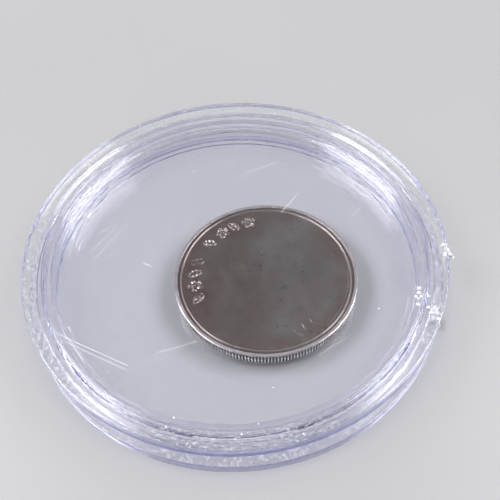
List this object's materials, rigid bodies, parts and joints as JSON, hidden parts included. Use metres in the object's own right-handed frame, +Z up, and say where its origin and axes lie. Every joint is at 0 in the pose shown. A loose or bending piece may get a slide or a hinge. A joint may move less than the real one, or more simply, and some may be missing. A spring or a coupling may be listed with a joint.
{
  "type": "coin capsule",
  "caption": "Clear round two-shell snap capsule with flanged edges, holding one coin that lies loose in its flat cavity.",
  "frame": {"origin": "on the capsule's round axis, on the flat face that it stands on", "axes": "+Z up along the capsule's axis, towards the lid; +X within 5 degrees of the lid's filling stub; -Y towards the viewer"},
  "size_m": [0.0548, 0.054, 0.0065],
  "materials": {
    "lower_shell_plastic": "clear polished polystyrene",
    "upper_shell_plastic": "clear polished polystyrene",
    "coin_metal": "circulated cupro-nickel, satin"
  },
  "bodies": {
    "base": {"lower_shell": "lower_shell_plastic"},
    "lid": {"upper_shell": "upper_shell_plastic"},
    "loose_coin": {"coin": "coin_metal"}
  },
  "joints": [
    {"name": "lid_lift", "type": "slide", "parent": "base", "child": "lid", "axis": [0, 0, 1], "range_m": [0, 0.025]},
    {"name": "coin_slide", "type": "slide", "parent": "base", "child": "loose_coin", "axis": [1, 0, 0], "range_m": [-0.0148, 0.0071]}
  ]
}
